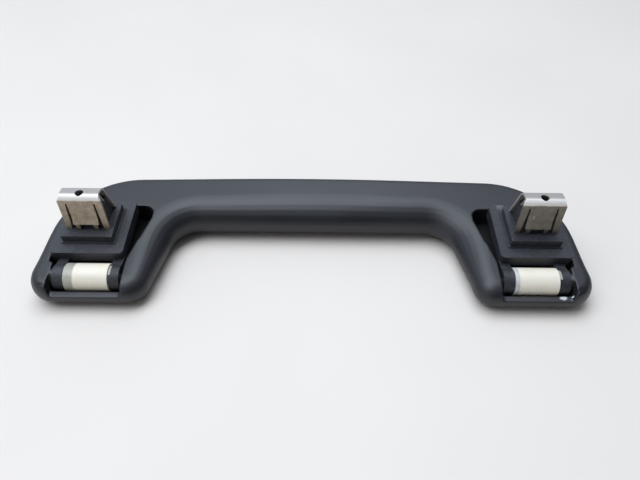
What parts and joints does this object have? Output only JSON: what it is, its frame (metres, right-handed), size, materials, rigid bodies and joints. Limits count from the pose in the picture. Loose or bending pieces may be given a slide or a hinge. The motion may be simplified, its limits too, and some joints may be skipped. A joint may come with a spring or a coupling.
{
  "type": "folding roof grab handle",
  "caption": "Folding car roof grab handle with two hinged clip-in brackets, one turning against a damper and one against a return spring.",
  "frame": {"origin": "below the middle of the handle's box, at the height of the lowest point of its sloping front face", "axes": "+X along the handle, +Y from the hinge side to the grip bar, +Z out of the rear towards the roof"},
  "size_m": [0.2386, 0.0678, 0.0436],
  "materials": {
    "grip_plastic": "soft fine grain",
    "bracket_plastic": "fine grain",
    "clip_steel": "plated, lightly tarnished",
    "pin_steel": "ground",
    "cream_plastic": "smooth satin",
    "clear_plastic": "cloudy, lets light through",
    "white_plastic": "smooth",
    "seal_rubber": "oiled",
    "spring_steel": "drawn wire"
  },
  "bodies": {
    "handle": {"grip": "grip_plastic", "left_pin": "pin_steel", "right_pin": "pin_steel", "damper_housing": "cream_plastic", "damper_cap": "clear_plastic", "spring_sleeve": "cream_plastic", "spring_collar": "white_plastic", "return_spring": "spring_steel"},
    "left_fixing": {"left_bracket": "bracket_plastic", "left_clip": "clip_steel", "damper_rotor": "clear_plastic", "damper_seal": "seal_rubber"},
    "right_fixing": {"right_bracket": "bracket_plastic", "right_clip": "clip_steel", "spring_plug": "clear_plastic"}
  },
  "joints": [
    {"name": "left_hinge", "type": "hinge", "parent": "handle", "child": "left_fixing", "pos_m": [-0.0956, -0.0239, 0.01514], "axis": [1, 0, 0], "range_deg": [0, 90]},
    {"name": "right_hinge", "type": "hinge", "parent": "handle", "child": "right_fixing", "pos_m": [0.0956, -0.0239, 0.01514], "axis": [1, 0, 0], "range_deg": [0, 90], "stiffness_Nm_per_rad": 0.03, "springref_deg": -68.75, "deforming": ["return_spring"]}
  ]
}
